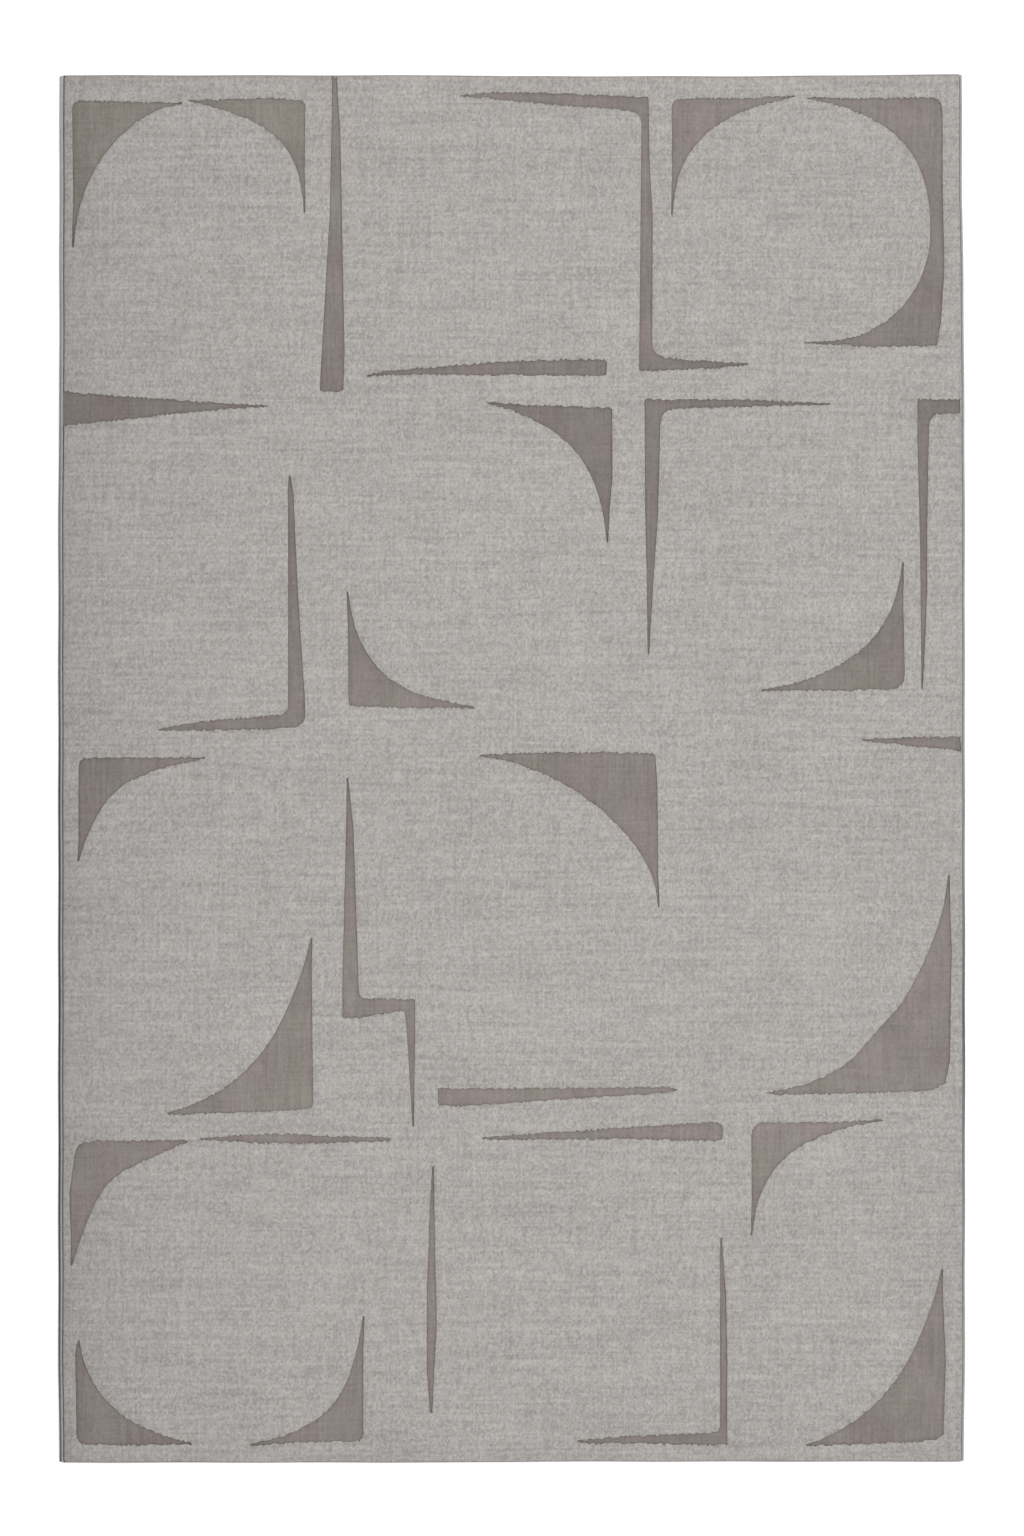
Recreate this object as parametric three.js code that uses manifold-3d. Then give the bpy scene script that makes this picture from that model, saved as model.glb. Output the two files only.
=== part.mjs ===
// An area rug of cut pile in two heights: a light grey ground with thirty lower, darker figures let into it.
// The tufts stand in a woven cloth, locked by a coat of latex over a lining cloth. The two long sides are
// serged with yarn, and the two ends are turned under.
//
// Units are millimetres. X runs across the rug, Y along it and Z up. The origin is on the floor, under the
// middle of the rug.

import * as THREE from "three";
import { mergeVertices } from "three/addons/utils/BufferGeometryUtils.js";
import Module from "manifold-3d";

// Driving dimensions

const RUG_WIDTH = 1500; // over the two serged sides
const RUG_LENGTH = 2300; // over the two turned ends
const CORNER_RADIUS = 6; // of the rug's four corners, seen from above
const PILE_CORNER = 3; // radius of the four corners of the pile

const LINING_CLOTH = 1; // thickness of the cloth that lies on the floor
const LATEX_COAT = 0.5; // thickness of the coat that locks the tufts and holds the lining
const TUFT_CLOTH = 0.75; // thickness of the woven cloth that the tufts stand in
const GROUND_PILE = 8.75; // height of the ground's tufts above their cloth
const LOW_PILE = 5.25; // height of the figures' tufts above their cloth

const SERGE_WIDTH = 5; // the roll of yarn round each long side, across the rug
const SERGE_HEIGHT = 6.5;
const SERGE_ROUND = 2; // rounding of the roll's outer edges
const SERGE_GRIP = 3; // how far the tuft cloth reaches into the roll

const LOCKSTITCH_WIDTH = 0.9; // the thread laid between the roll and the pile
const LOCKSTITCH_HEIGHT = 1;

const HEM_TURN = 25; // how far each end is turned under
const HEM_FOLD = 1.2; // thickness of the fold at the very end
const HEM_RISE = 4; // height of the fold's upper edge above the floor

const FIT_GAP = 0.3; // clearance between pieces that lie against each other

// The pattern is drawn for a rug of this size, and is stretched to any other.
const PATTERN_WIDTH = 1500;
const PATTERN_LENGTH = 2300;

const CURVE_STEPS = 16; // straight pieces in a drawn curve
const ROUND_STEPS = 4; // straight pieces in a rounded corner
const CUT_MARGIN = 1; // how far a cutting solid reaches past what it cuts

// Heights above the floor

const LATEX_BOTTOM = LINING_CLOTH;
const CLOTH_BOTTOM = LATEX_BOTTOM + LATEX_COAT;
const CLOTH_TOP = CLOTH_BOTTOM + TUFT_CLOTH;
const GROUND_TOP = CLOTH_TOP + GROUND_PILE;
const LOW_TOP = CLOTH_TOP + LOW_PILE;

// Half widths, from the middle of the rug out to its side

const ROLL_INSIDE = RUG_WIDTH / 2 - SERGE_WIDTH;
const CLOTH_SIDE = ROLL_INSIDE + SERGE_GRIP;
const LINING_SIDE = ROLL_INSIDE - FIT_GAP;
const STITCH_MIDDLE = ROLL_INSIDE - FIT_GAP - LOCKSTITCH_WIDTH / 2;
const PILE_SIDE = ROLL_INSIDE - LOCKSTITCH_WIDTH - 2 * FIT_GAP;

// Half lengths, from the middle of the rug out to its end

const CLOTH_END = RUG_LENGTH / 2 - HEM_FOLD - FIT_GAP;
const LINING_END = RUG_LENGTH / 2 - HEM_TURN - FIT_GAP;

// Materials

function cloth(color, roughness) {
  return new THREE.MeshStandardMaterial({ color, roughness, metalness: 0 });
}

const GROUND_YARN = cloth(0xada9a6, 0.95);
const FIGURE_YARN = cloth(0x8a8280, 0.9);
const SERGING_YARN = cloth(0xa6a4a0, 0.85);
const STITCH_THREAD = cloth(0x4a4846, 0.7);
const WOVEN_BACKING = cloth(0x9a948a, 0.95);
const LATEX = cloth(0xd8d3c6, 0.6);
const LINING = cloth(0xb9b2a4, 0.95);
const HEM_CLOTH = cloth(0x6c6864, 0.95);

// Outlines

// A point of the pattern, moved to its place on a rug of this size.
function drawn([x, y]) {
  return new THREE.Vector2((x * RUG_WIDTH) / PATTERN_WIDTH, (y * RUG_LENGTH) / PATTERN_LENGTH);
}

// The rounding of one corner, as points.
function rounded(before, corner, after, radius) {
  const start = before.clone().sub(corner).setLength(radius).add(corner);
  const end = after.clone().sub(corner).setLength(radius).add(corner);
  return new THREE.QuadraticBezierCurve(start, corner, end).getPoints(ROUND_STEPS);
}

// An outline through its corners, as points that run counter-clockwise. A corner is [x, y], or
// [x, y, radius] where it is rounded. Two handles [[x, y], [x, y]] between corners bend that side as a
// cubic curve.
function outline(...steps) {
  const isCurve = (step) => Array.isArray(step[0]);
  const stepAt = (i) => steps[(i + steps.length) % steps.length];
  const points = [];
  steps.forEach((step, i) => {
    const before = stepAt(i - 1);
    const after = stepAt(i + 1);
    if (isCurve(step)) {
      const side = new THREE.CubicBezierCurve(drawn(before), ...step.map(drawn), drawn(after));
      points.push(...side.getPoints(CURVE_STEPS).slice(1, -1));
    } else if (step.length === 3) {
      points.push(...rounded(drawn(before), drawn(step), drawn(after), step[2]));
    } else {
      points.push(drawn(step));
    }
  });
  return THREE.ShapeUtils.isClockWise(points) ? points.reverse() : points;
}

// The same outline moved outwards all round by a distance.
function grown(points, distance) {
  const outward = (from, to) => new THREE.Vector2(to.y - from.y, from.x - to.x).normalize();
  return points.map((point, i) => {
    const first = outward(points.at(i - 1), point);
    const second = outward(point, points[(i + 1) % points.length]);
    const corner = distance / (1 + first.dot(second));
    return first.add(second).multiplyScalar(corner).add(point);
  });
}

// A rectangle about the middle of the rug, with its corners rounded.
function plate(halfWidth, halfLength, radius = 0) {
  const corners = [
    [-halfWidth, -halfLength],
    [halfWidth, -halfLength],
    [halfWidth, halfLength],
    [-halfWidth, halfLength],
  ].map(([x, y]) => new THREE.Vector2(x, y));
  if (radius === 0) return corners;
  return corners.flatMap((corner, i) =>
    rounded(corners.at(i - 1), corner, corners[(i + 1) % corners.length], radius),
  );
}

// Solids

const wasm = await Module();
wasm.setup();

// A flat layer between two heights. Its faces are set to exactly those heights, so stacked layers meet.
function layer(points, bottom, top) {
  const shape = new THREE.Shape(points);
  const depth = top - bottom;
  const geometry = new THREE.ExtrudeGeometry(shape, { depth, bevelEnabled: false });
  const position = geometry.getAttribute("position");
  for (let i = 0; i < position.count; i++) {
    position.setZ(i, position.getZ(i) < depth / 2 ? bottom : top);
  }
  return geometry;
}

function solidOf(geometry) {
  const bare = new THREE.BufferGeometry();
  bare.setAttribute("position", geometry.getAttribute("position"));
  const merged = mergeVertices(bare);
  return new wasm.Manifold(
    new wasm.Mesh({
      numProp: 3,
      vertProperties: merged.getAttribute("position").array,
      triVerts: new Uint32Array(merged.index.array),
    }),
  );
}

function geometryOf(solid) {
  const { vertProperties, triVerts } = solid.getMesh();
  const geometry = new THREE.BufferGeometry();
  geometry.setAttribute("position", new THREE.BufferAttribute(vertProperties, 3));
  geometry.setIndex(new THREE.BufferAttribute(triVerts, 1));
  geometry.computeVertexNormals();
  return geometry;
}

const rug = new THREE.Group();

function addPiece(name, geometry, material) {
  const piece = new THREE.Mesh(geometry, material);
  piece.name = name;
  rug.add(piece);
}

// The figures of the pattern, each named for its form and its place. A sail has a square corner and a
// hollow side; an angle has two arms; a post stands along the rug, and a beam lies across it. A figure that
// reaches the rug's edge is drawn past it, and is trimmed there.

const FIGURES = {
  sail_top_left: outline(
    [-730, 1110, 16],
    [-547, 1105],
    [-547, 1103],
    [[-633, 1085], [-716, 1004]],
    [-726, 863],
    [-728, 863],
  ),
  sail_top_left_inner: outline(
    [-341, 1109, 12],
    [-400, 1114],
    [-536, 1109],
    [-536, 1107],
    [[-417, 1075], [-354, 1054]],
    [-345, 922],
    [-343, 922],
  ),
  post_top: outline(
    [-291, 1170],
    [-299, 1170],
    [-304, 922],
    [-321, 623, 9],
    [-278, 623, 9],
    [-276, 690],
    [-283, 1054],
  ),
  angle_top_middle: outline(
    [-85, 1115],
    [-85, 1117],
    [-31, 1124],
    [65, 1124],
    [228, 1116, 4],
    [230, 1000],
    [235, 920],
    [234, 685, 22],
    [391, 671],
    [391, 669],
    [345, 663],
    [209, 657, 6],
    [213, 1089, 20],
    [55, 1102],
    [-40, 1111],
  ),
  beam_upper_middle: outline(
    [-241, 650],
    [-241, 652],
    [-202, 661],
    [-20, 677],
    [80, 680],
    [160, 680, 10],
    [158, 650, 8],
    [-186, 652],
  ),
  sail_top_right: outline(
    [263, 1114, 18],
    [469, 1116],
    [469, 1114],
    [[350, 1088], [275, 1048]],
    [266, 917],
    [264, 917],
  ),
  hook_top_right: outline(
    [489, 1111],
    [489, 1113],
    [718, 1114, 26],
    [719, 822],
    [713, 740],
    [706, 699, 5],
    [593, 698],
    [485, 705],
    [485, 707],
    [[612, 701], [692, 787]],
    [693, 893],
    [[698, 1035], [611, 1086]],
  ),
  wedge_left: outline(
    [-770, 628],
    [-613, 617],
    [-406, 602],
    [-406, 600],
    [-550, 588],
    [-653, 576],
    [-770, 564],
  ),
  angle_left: outline(
    [-370, 487],
    [-368, 487],
    [-361, 454],
    [-353, 288],
    [-342, 120],
    [-341, 69, 22],
    [-396, 64],
    [-517, 62],
    [-585, 63],
    [-585, 65],
    [-517, 80],
    [-451, 85],
    [-373, 92, 14],
    [-373, 462],
  ),
  sail_upper_middle: outline(
    [-41, 605],
    [-41, 607],
    [168, 600, 6],
    [168, 480],
    [159, 375],
    [157, 375],
    [[142, 493], [110, 563]],
  ),
  sail_middle_left: outline(
    [-273, 103, 10],
    [-175, 99],
    [-63, 100],
    [-63, 102],
    [[-138, 123], [-247, 120]],
    [-272, 293],
    [-274, 293],
  ),
  angle_upper_right: outline(
    [218, 614, 4],
    [370, 614],
    [527, 605],
    [527, 603],
    [456, 601],
    [248, 594, 22],
    [244, 421],
    [227, 188],
    [225, 188],
    [219, 420],
  ),
  angle_right: outline(
    [670, 614, 5],
    [770, 614],
    [770, 587],
    [693, 587, 20],
    [689, 412],
    [689, 296],
    [680, 130],
    [678, 130],
    [673, 412],
    [670, 545],
  ),
  sail_middle_right: outline(
    [653, 131, 24],
    [560, 128],
    [414, 128],
    [414, 130],
    [[558, 161], [629, 210]],
    [647, 343],
    [649, 343],
  ),
  wedge_right: outline(
    [582, 46],
    [582, 48],
    [651, 54],
    [770, 54],
    [770, 27],
    [676, 34],
  ),
  sail_left: outline(
    [-718, 20, 18],
    [-560, 20],
    [-509, 19],
    [-509, 17],
    [[-648, -18], [-668, -21]],
    [-716, -153],
    [-718, -153],
  ),
  sail_center: outline(
    [239, 27, 6],
    [150, 29],
    [20, 28],
    [-53, 22],
    [-53, 20],
    [[99, 0], [241, -126]],
    [242, -230],
    [244, -230],
    [243, -30],
  ),
  step_center: outline(
    [-274, -16],
    [-272, -16],
    [-261, -100],
    [-252, -380, 12],
    [-159, -380, 6],
    [-159, -450],
    [-163, -594],
    [-165, -594],
    [-179, -402, 6],
    [-252, -415],
    [-283, -417, 8],
    [-283, -349],
    [-277, -100],
  ),
  sail_lower_left: outline(
    [-571, -571],
    [-571, -573],
    [-549, -575],
    [-465, -572],
    [-328, -566, 14],
    [-331, -280],
    [-333, -280],
    [[-377, -427], [-419, -523]],
  ),
  sail_lower_right: outline(
    [421, -537],
    [421, -539],
    [441, -542],
    [568, -540],
    [677, -536],
    [704, -531],
    [718, -522],
    [726, -484],
    [729, -300],
    [724, -175],
    [722, -175],
    [[712, -250], [682, -330]],
    [640, -393],
    [572, -470],
    [[540, -505], [480, -528]],
  ),
  beam_center: outline(
    [-125, -529, 4],
    [258, -527],
    [274, -532],
    [274, -534],
    [246, -540],
    [84, -550],
    [10, -555],
    [-92, -561],
    [-124, -560, 8],
  ),
  sail_low_left: outline(
    [-733, -704],
    [-722, -619, 20],
    [-683, -615],
    [-560, -614],
    [-538, -618],
    [-538, -620],
    [[-678, -681], [-671, -666]],
    [-727, -825],
    [-729, -825],
  ),
  leaf_low_left: outline(
    [-517, -615],
    [-517, -613],
    [-465, -608],
    [-411, -604],
    [-363, -604],
    [-309, -608],
    [-201, -612],
    [-204, -618],
    [-245, -620],
    [-323, -623],
    [-411, -623],
    [-465, -620],
  ),
  beam_low_center: outline(
    [-49, -614],
    [-49, -612],
    [-1, -607],
    [202, -592],
    [331, -585],
    [352, -586, 12],
    [350, -619, 8],
    [202, -616],
    [-34, -616],
  ),
  sail_low_right: outline(
    [395, -585, 24],
    [530, -585],
    [615, -582],
    [615, -584],
    [[482, -608], [413, -646]],
    [398, -774],
    [396, -774],
  ),
  post_low_left: outline(
    [-132, -658],
    [-130, -658],
    [-126, -788],
    [-123, -920],
    [-128, -1014],
    [-132, -1068],
    [-136, -1068],
    [-143, -1000],
    [-143, -860],
    [-137, -720],
  ),
  angle_bottom_middle: outline(
    [346, -778],
    [348, -778],
    [356, -871],
    [359, -987],
    [358, -1030],
    [359, -1123, 4],
    [333, -1124],
    [217, -1120],
    [127, -1121],
    [109, -1117],
    [109, -1115],
    [185, -1106],
    [343, -1099, 10],
    [343, -987],
    [344, -800],
  ),
  sail_bottom_left: outline(
    [-723, -1121, 20],
    [-723, -969],
    [-717, -948],
    [-715, -948],
    [[-690, -1061], [-635, -1087]],
    [-531, -1118],
    [-531, -1120],
    [-620, -1122],
  ),
  sail_bottom_middle: outline(
    [-245, -1116, 14],
    [-330, -1117],
    [-433, -1121],
    [-433, -1119],
    [[-284, -1085], [-272, -1029]],
    [-247, -908],
    [-245, -908],
  ),
  sail_bottom_right: outline(
    [487, -1122],
    [487, -1124],
    [570, -1123],
    [676, -1117],
    [704, -1114],
    [717, -1104],
    [719, -985],
    [713, -829],
    [711, -829],
    [[666, -990], [620, -1069]],
  ),
};

// The pile: each figure is trimmed to the pile's field, and the ground is cut away round it.

const field = plate(PILE_SIDE, CLOTH_END, PILE_CORNER);
const lowField = solidOf(layer(field, CLOTH_TOP, LOW_TOP));
let ground = solidOf(layer(field, CLOTH_TOP, GROUND_TOP));
for (const [name, points] of Object.entries(FIGURES)) {
  const figure = solidOf(layer(points, CLOTH_TOP, LOW_TOP)).intersect(lowField);
  addPiece(`low_pile_${name}`, geometryOf(figure), FIGURE_YARN);
  const cut = layer(grown(points, FIT_GAP), CLOTH_TOP - CUT_MARGIN, GROUND_TOP + CUT_MARGIN);
  ground = ground.subtract(solidOf(cut));
}
addPiece("ground_pile", geometryOf(ground), GROUND_YARN);

// The cloths under the pile

addPiece(
  "tuft_cloth",
  layer(plate(CLOTH_SIDE, CLOTH_END), CLOTH_BOTTOM, CLOTH_TOP),
  WOVEN_BACKING,
);
addPiece(
  "latex_coat",
  layer(plate(LINING_SIDE, LINING_END), LATEX_BOTTOM, CLOTH_BOTTOM),
  LATEX,
);
addPiece("lining_cloth", layer(plate(LINING_SIDE, LINING_END), 0, LATEX_BOTTOM), LINING);

// The edges. A section is drawn as points [out, up] and swept along a side or an end, then trimmed to the
// rounded corners of the rug.

const rugOutline = solidOf(
  layer(plate(RUG_WIDTH / 2, RUG_LENGTH / 2, CORNER_RADIUS), -CUT_MARGIN, GROUND_TOP),
);

// side is 1 for the right side and -1 for the left, where the section is mirrored.
function alongSide(section, length, side) {
  const shape = new THREE.Shape(section.map(({ x, y }) => new THREE.Vector2(side * x, y)));
  const run = new THREE.ExtrudeGeometry(shape, { depth: length, bevelEnabled: false });
  return run.rotateX(Math.PI / 2).translate(0, length / 2, 0);
}

// end is 1 for the end towards +Y and -1 for the other.
function alongEnd(section, length, end) {
  return alongSide(section, length, end).rotateZ(Math.PI / 2);
}

function trimmed(geometry) {
  return geometryOf(solidOf(geometry).intersect(rugOutline));
}

// The roll of serging yarn, with a slot in its inner face where it clasps the tuft cloth.
function rollSection() {
  const outside = RUG_WIDTH / 2;
  const slotEnd = CLOTH_SIDE + FIT_GAP;
  const slotBottom = CLOTH_BOTTOM - FIT_GAP;
  const slotTop = CLOTH_TOP + FIT_GAP;
  const corner = (x, y) => new THREE.Vector2(x, y);
  const innerBottom = corner(ROLL_INSIDE, 0);
  const outerBottom = corner(outside, 0);
  const outerTop = corner(outside, SERGE_HEIGHT);
  const innerTop = corner(ROLL_INSIDE, SERGE_HEIGHT);
  const slotLip = corner(ROLL_INSIDE, slotTop);
  return [
    innerBottom,
    ...rounded(innerBottom, outerBottom, outerTop, SERGE_ROUND),
    ...rounded(outerBottom, outerTop, innerTop, SERGE_ROUND),
    ...rounded(outerTop, innerTop, slotLip, SERGE_ROUND),
    slotLip,
    corner(slotEnd, slotTop),
    corner(slotEnd, slotBottom),
    corner(ROLL_INSIDE, slotBottom),
  ];
}

// The thread beside the roll: flat on the cloth, round above.
function threadSection() {
  const half = LOCKSTITCH_WIDTH / 2;
  const round = new THREE.EllipseCurve(STITCH_MIDDLE, CLOTH_TOP, half, LOCKSTITCH_HEIGHT, 0, Math.PI);
  return round.getPoints(2 * ROUND_STEPS);
}

// The turned end: the fold stands at the very end, and its tail lies on the floor under the tuft cloth.
function hemSection() {
  const end = RUG_LENGTH / 2;
  const tailTop = CLOTH_BOTTOM - FIT_GAP;
  return [
    [end - HEM_TURN, 0],
    [end, 0],
    [end, HEM_RISE],
    [end - HEM_FOLD, HEM_RISE],
    [end - HEM_FOLD, tailTop],
    [end - HEM_TURN, tailTop],
  ].map(([x, y]) => new THREE.Vector2(x, y));
}

for (const [side, sign] of [["left", -1], ["right", 1]]) {
  const roll = alongSide(rollSection(), RUG_LENGTH, sign);
  addPiece(`serging_${side}`, trimmed(roll), SERGING_YARN);
  const thread = alongSide(threadSection(), 2 * CLOTH_END, sign);
  addPiece(`lockstitch_${side}`, thread, STITCH_THREAD);
}

for (const [place, sign] of [["bottom", -1], ["top", 1]]) {
  const hem = alongEnd(hemSection(), 2 * LINING_SIDE, sign);
  addPiece(`end_hem_${place}`, trimmed(hem), HEM_CLOTH);
}

export default rug;
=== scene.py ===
# %% [markdown]
# # An area rug in high and low pile
#
# The rug lies flat: a light heathered ground of cut pile, with thirty darker figures of lower velour let
# into it. The tufts stand in a woven cloth over a latex coat and a lining. Yarn is wound round both long
# sides, and both ends are turned under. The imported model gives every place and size, in metres.

import bmesh
import bpy
import numpy as np
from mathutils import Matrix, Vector
from mathutils.geometry import delaunay_2d_cdt


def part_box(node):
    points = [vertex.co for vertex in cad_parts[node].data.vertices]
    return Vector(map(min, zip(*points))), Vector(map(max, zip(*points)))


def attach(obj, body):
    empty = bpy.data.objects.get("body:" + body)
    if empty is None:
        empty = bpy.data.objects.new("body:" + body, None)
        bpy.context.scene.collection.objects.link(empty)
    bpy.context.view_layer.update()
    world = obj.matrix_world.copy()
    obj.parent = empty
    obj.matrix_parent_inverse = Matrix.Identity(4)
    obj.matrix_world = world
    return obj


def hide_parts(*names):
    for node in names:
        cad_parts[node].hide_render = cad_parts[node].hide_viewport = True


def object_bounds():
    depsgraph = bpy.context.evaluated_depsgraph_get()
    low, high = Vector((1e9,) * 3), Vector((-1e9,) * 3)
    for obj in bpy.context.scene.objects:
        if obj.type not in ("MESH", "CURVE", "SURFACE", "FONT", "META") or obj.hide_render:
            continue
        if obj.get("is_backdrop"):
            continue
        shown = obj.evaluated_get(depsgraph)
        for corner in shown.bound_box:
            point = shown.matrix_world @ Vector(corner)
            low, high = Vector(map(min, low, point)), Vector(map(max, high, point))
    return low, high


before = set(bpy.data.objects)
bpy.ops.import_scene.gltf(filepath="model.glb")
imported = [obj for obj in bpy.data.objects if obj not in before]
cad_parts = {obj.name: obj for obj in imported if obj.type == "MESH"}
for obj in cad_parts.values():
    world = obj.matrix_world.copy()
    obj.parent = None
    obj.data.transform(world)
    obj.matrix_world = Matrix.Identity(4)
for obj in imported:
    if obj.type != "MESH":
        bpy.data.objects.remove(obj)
cad_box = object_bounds()
MM = 0.001
print("nodes", len(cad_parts), "box", [round(v / MM, 1) for v in cad_box[1] - cad_box[0]], "mm")

# %% [markdown]
# ## Camera
#
# A rug is best seen from straight above, through a long lens far away, so that its sides stay parallel.
# An orthographic camera would do that too, but it would flatten every view from the side.

# %% Place the camera
LENS = 135  # mm
SENSOR = 36  # mm, along the frame's long side
FRAME_LENGTH = 2.5465  # metres of floor along the frame's long side
FRAME_SHIFT = 0.0008  # metres that the frame's middle lies beyond the rug's

bpy.ops.object.select_all(action="DESELECT")
camera_data = bpy.data.cameras.new("camera")
camera_data.lens = LENS
camera_data.sensor_width = SENSOR
camera = bpy.data.objects.new("camera", camera_data)
camera.location = (0, FRAME_SHIFT, cad_box[1].z + FRAME_LENGTH * LENS / SENSOR)
bpy.context.scene.collection.objects.link(camera)
bpy.context.scene.camera = camera
print("camera height", round(camera.location.z, 2), "m")

# %% [markdown]
# ## Floor and light
#
# Pile shows its form only in soft light: an even white sky fills the recesses, and one large softbox
# gives their walls a lit and a shaded side. The floor is plain white. The colours are shown as they are,
# so the view transform is Standard.

# %% Set the stage
FLOOR_SIZE = 60  # metres
FLOOR_DROP = 0.2 * MM  # so that the lining's face and the floor's don't coincide
FLOOR_COLOUR = (0.95, 0.95, 0.95, 1)
FLOOR_ROUGHNESS = 0.9
SKY_STRENGTH = 1.08
SOFTBOX_SIZE = 2.5  # metres
SOFTBOX_PLACE = (1.7, 0.2, 5.6)
SOFTBOX_POWER = 150  # watts

bpy.context.scene.view_settings.view_transform = "Standard"

bpy.ops.mesh.primitive_plane_add(size=FLOOR_SIZE, location=(0, 0, -FLOOR_DROP))
floor = bpy.context.active_object
floor.name = "floor"
white_paint = bpy.data.materials.new("white_paint")
white_paint.use_nodes = True
paint_shader = white_paint.node_tree.nodes["Principled BSDF"]
paint_shader.inputs["Base Color"].default_value = FLOOR_COLOUR
paint_shader.inputs["Roughness"].default_value = FLOOR_ROUGHNESS
floor.data.materials.append(white_paint)
floor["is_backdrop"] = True

world = bpy.data.worlds.new("sky")
world.use_nodes = True
sky = world.node_tree.nodes["Background"]
sky.inputs["Color"].default_value = (1, 1, 1, 1)
sky.inputs["Strength"].default_value = SKY_STRENGTH
bpy.context.scene.world = world

softbox_data = bpy.data.lights.new("softbox", "AREA")
softbox_data.size = SOFTBOX_SIZE
softbox_data.energy = SOFTBOX_POWER
softbox = bpy.data.objects.new("softbox", softbox_data)
softbox.location = SOFTBOX_PLACE
softbox.rotation_euler = softbox.location.to_track_quat("Z", "Y").to_euler()
bpy.context.scene.collection.objects.link(softbox)
print("softbox at", softbox.location[:])

# %% [markdown]
# ## Tools for the materials
#
# Colours are written as sRGB hex values, as on a dyer's chart, and one function turns them to the linear
# values that a shader wants. One function adds a node with its settings and its links.


# %% Colour and node tools
def linear(hex_value):
    channels = [int(hex_value[i : i + 2], 16) / 255 for i in (1, 3, 5)]
    return [c / 12.92 if c <= 0.04045 else ((c + 0.055) / 1.055) ** 2.4 for c in channels] + [1]


def node(tree, kind, sockets=None, **settings):
    """Adds a node. sockets gives each input a value, or the output that feeds it."""
    made = tree.nodes.new(kind)
    for name, value in settings.items():
        setattr(made, name, value)
    for key, value in (sockets or {}).items():
        if isinstance(value, bpy.types.NodeSocket):
            tree.links.new(value, made.inputs[key])
        else:
            made.inputs[key].default_value = value
    return made


def new_material(name, roughness, sheen=0.0):
    """A cloth material. The values that are the same all over go on the shader's own sockets."""
    material = bpy.data.materials.new(name)
    material.use_nodes = True
    shader = material.node_tree.nodes["Principled BSDF"]
    shader.inputs["Roughness"].default_value = roughness
    shader.inputs["Specular IOR Level"].default_value = 0.15
    shader.inputs["Sheen Weight"].default_value = sheen
    shader.inputs["Sheen Roughness"].default_value = 0.5
    return material, material.node_tree, shader


MIX_A, MIX_B, MIX_COLOUR = 6, 7, 2  # a colour Mix node's sockets, which share their names with others
SOFT = ("ShaderNodeTexNoise", {"Scale": 1.0, "Detail": 1.0}, "Fac")  # shades that run into each other
TUFT = ("ShaderNodeTexVoronoi", {"Scale": 1.0}, "Color")  # cells with a shade each, as cut tufts have
FIBRE = 0.9  # mm, the size of the loose fibres that fray every pattern
FRAY = 1.8  # mm that they drag it about


def summed(tree, layers, centre=0.5):
    """Adds layers of pattern to a centre. A layer is its kind, its size in mm across and along the rug,
    and its strength. The place that they all read is dragged about by the fibres, so no edge is sharp."""
    place = node(tree, "ShaderNodeTexCoord").outputs["Object"]
    fibres = {"Vector": place, "Scale": 1 / (FIBRE * MM), "Detail": 0.0}
    fibre = node(tree, "ShaderNodeTexNoise", fibres).outputs["Color"]
    drag = {0: fibre, 1: [FRAY * MM] * 3, 2: place}
    place = node(tree, "ShaderNodeVectorMath", drag, operation="MULTIPLY_ADD").outputs[0]
    total = centre
    for number, ((kind, settings, output), across, along, strength) in enumerate(layers):
        scale = (1 / (across * MM), 1 / (along * MM), 1 / (along * MM))
        stretch = {"Vector": place, "Location": (7.3 * number, 3.1 * number, 0), "Scale": scale}
        stretched = node(tree, "ShaderNodeMapping", stretch).outputs[0]
        pattern = node(tree, kind, {"Vector": stretched, **settings}).outputs[output]
        swing = {0: pattern, 1: strength, 2: -strength / 2}
        part = node(tree, "ShaderNodeMath", swing, operation="MULTIPLY_ADD").outputs[0]
        total = node(tree, "ShaderNodeMath", {0: part, 1: total}, operation="ADD").outputs[0]
    return total


def dyed(tree, layers, dark, light, centre=0.5):
    """A yarn's colour: the sum of its layers runs between its dark and its light strand."""
    ends = {"Factor": summed(tree, layers, centre), MIX_A: linear(dark), MIX_B: linear(light)}
    return node(tree, "ShaderNodeMix", ends, data_type="RGBA").outputs[MIX_COLOUR]


print("tools ready")

# %% [markdown]
# ## Painted shade at the edges
#
# The pile's colour is darkened as painted shade, more and more towards the left side, and a little at the
# right side and the near end. The shade falls off with the distance from the edge, so it is the edge's
# shade divided by one more than that distance, counted in steps of 70 mm.

# %% Paint shade along the edges
# Painted shade: the share of the colour taken off at each edge, and the step in which it falls off.
SHADE_STEP = 70  # mm
LEFT_SHADE = 0.22  # of the colour, at the very edge
RIGHT_SHADE = 0.08
END_SHADE = 0.05


def painted_edge_shade(tree, colour):
    """A colour with painted shade towards the left and right sides and the near end."""
    place = node(tree, "ShaderNodeTexCoord").outputs["Object"]
    parts = node(tree, "ShaderNodeSeparateXYZ", {0: place})
    for axis, edge, direction, edge_shade in (
        ("X", cad_box[0].x, 1, LEFT_SHADE),
        ("X", cad_box[1].x, -1, RIGHT_SHADE),
        ("Y", cad_box[0].y, 1, END_SHADE),
    ):
        step = SHADE_STEP * MM * direction
        away = {0: parts.outputs[axis], 1: 1 / step, 2: 1 - edge / step}
        steps = node(tree, "ShaderNodeMath", away, operation="MULTIPLY_ADD").outputs[0]
        painted_shade = node(tree, "ShaderNodeMath", {0: edge_shade, 1: steps}, operation="DIVIDE").outputs[0]
        kept = node(tree, "ShaderNodeMath", {0: 1.0, 1: painted_shade}, operation="SUBTRACT").outputs[0]
        dimmed = {0: colour, "Scale": kept}
        colour = node(tree, "ShaderNodeVectorMath", dimmed, operation="SCALE").outputs[0]
    return colour


print("lean", SHADE_STEP, "mm steps")

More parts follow.
